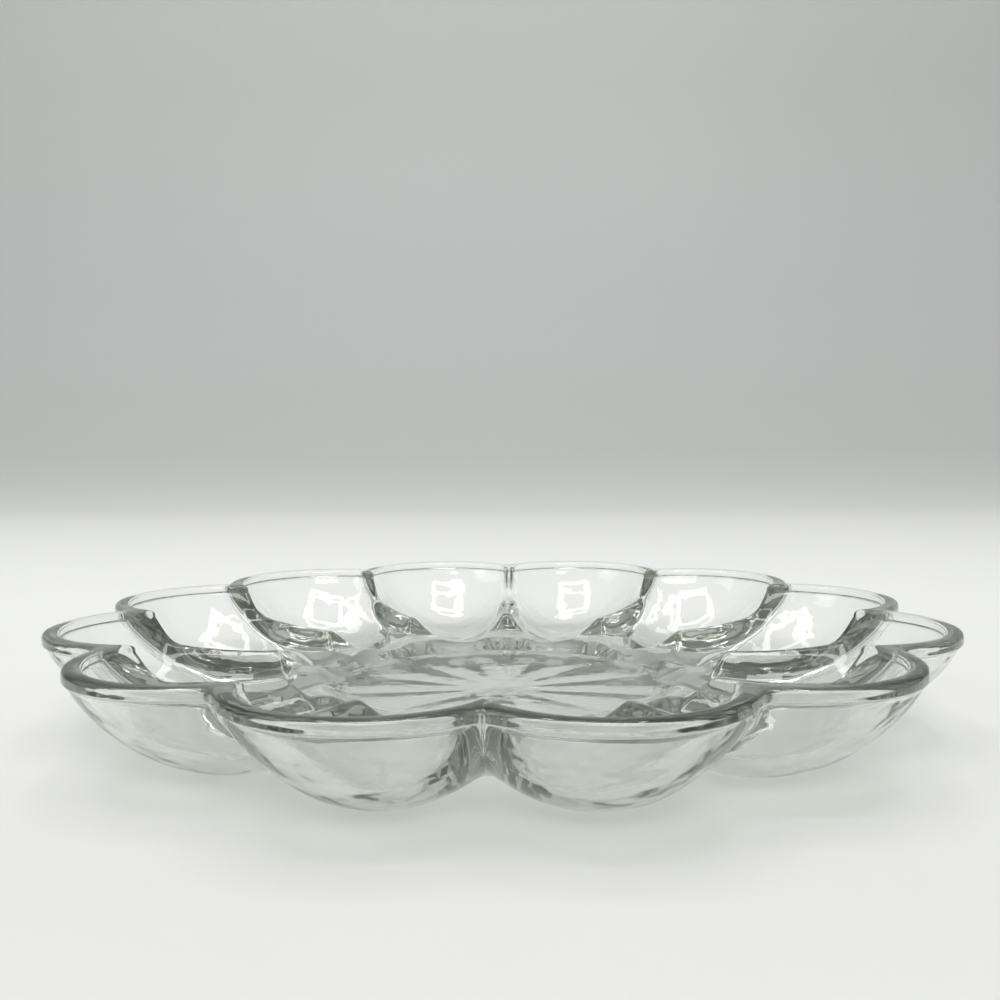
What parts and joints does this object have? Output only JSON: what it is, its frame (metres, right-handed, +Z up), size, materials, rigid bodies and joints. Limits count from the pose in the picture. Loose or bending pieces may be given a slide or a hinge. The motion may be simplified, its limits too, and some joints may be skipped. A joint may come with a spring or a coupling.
{
  "type": "deviled egg platter",
  "caption": "Round pressed glass serving platter with a ring of egg-shaped cups, a scalloped rounded rim and a shallow rosette centre.",
  "frame": {"origin": "centre of the platter on the table, under the middle of the rosette", "axes": "+Z up along the platter's axis of symmetry; -Y towards the viewer of the picture, with one divider between two cups pointing that way"},
  "size_m": [0.2472, 0.2472, 0.029],
  "materials": {
    "clear_glass": "clear, fire-polished"
  },
  "bodies": {
    "root": {"egg_platter": "clear_glass"}
  },
  "joints": []
}
